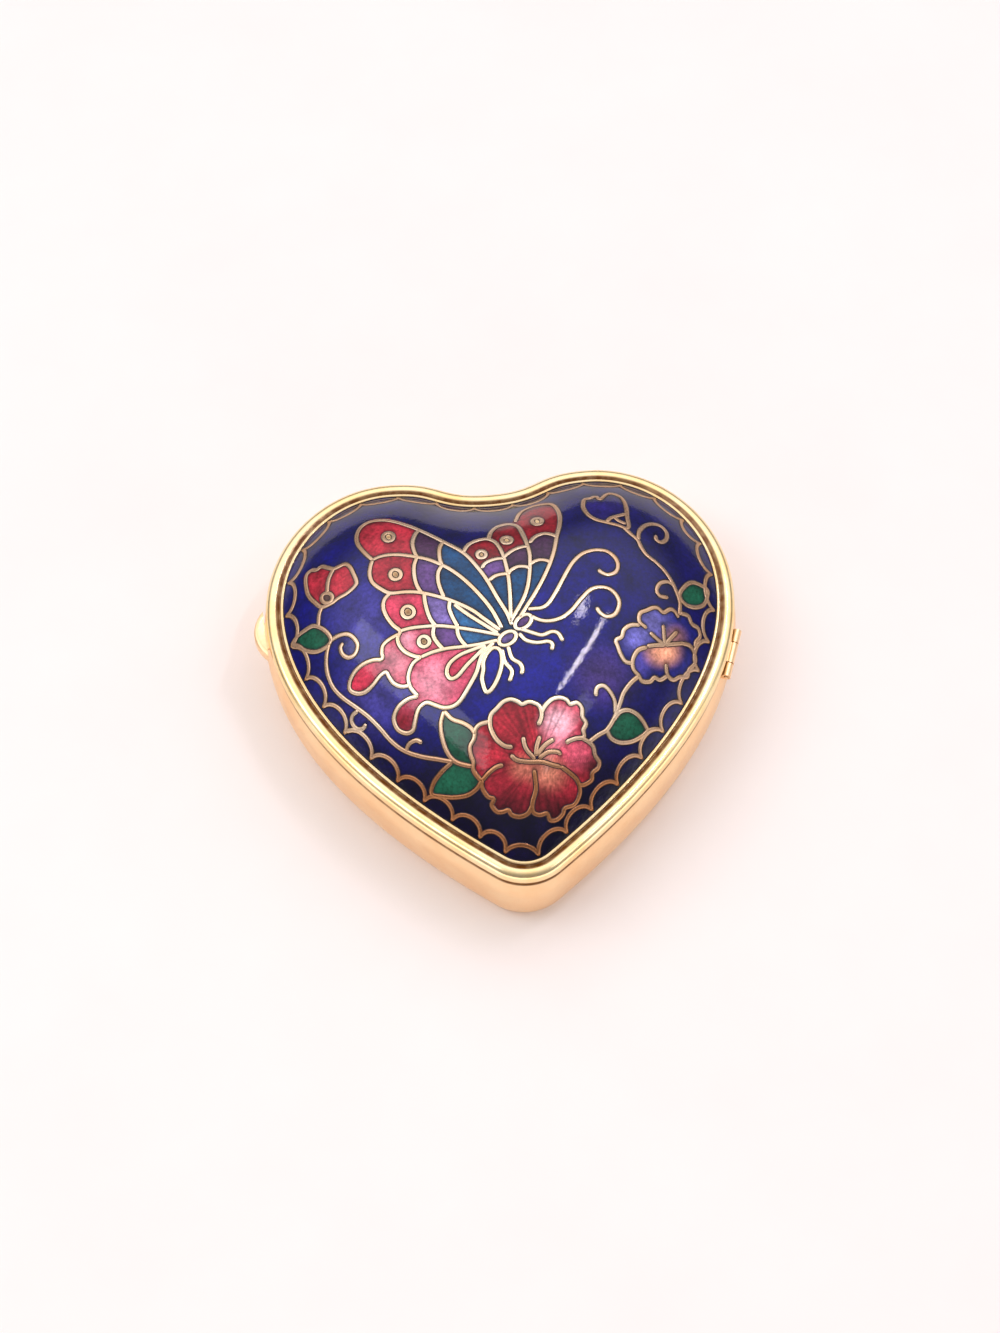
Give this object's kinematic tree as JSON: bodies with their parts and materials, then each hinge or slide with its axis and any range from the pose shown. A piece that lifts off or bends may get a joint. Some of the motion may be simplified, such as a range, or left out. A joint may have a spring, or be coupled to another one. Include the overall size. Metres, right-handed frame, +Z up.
{
  "type": "cloisonne enamel box",
  "caption": "Heart-shaped trinket box: thin bulging metal cup, hinged lid with a beaded metal rim and a domed cloisonne enamel plaque showing a butterfly and flowers.",
  "frame": {"origin": "on the surface the box stands on, under the middle of its bounding box", "axes": "+Z up, +X from the thumb catch to the hinge across the heart, +Y from the heart's tip to its notch"},
  "size_m": [0.0496, 0.0472, 0.0157],
  "materials": {
    "gilt_metal": "polished gilt",
    "enamel": "glossy cobalt enamel with coloured cells and raised gilt wires"
  },
  "bodies": {
    "base": {"base_cup": "gilt_metal", "hinge_base_leaf": "gilt_metal", "hinge_pin": "gilt_metal"},
    "lid": {"lid_frame": "gilt_metal", "enamel_plaque": "enamel", "hinge_lid_leaf": "gilt_metal", "thumb_catch": "gilt_metal"}
  },
  "joints": [
    {"name": "lid_hinge", "type": "hinge", "parent": "base", "child": "lid", "pos_m": [0.02352, 0.00074, 0.00725], "axis": [0.3259, 0.9454, 0], "range_deg": [0, 100]}
  ]
}
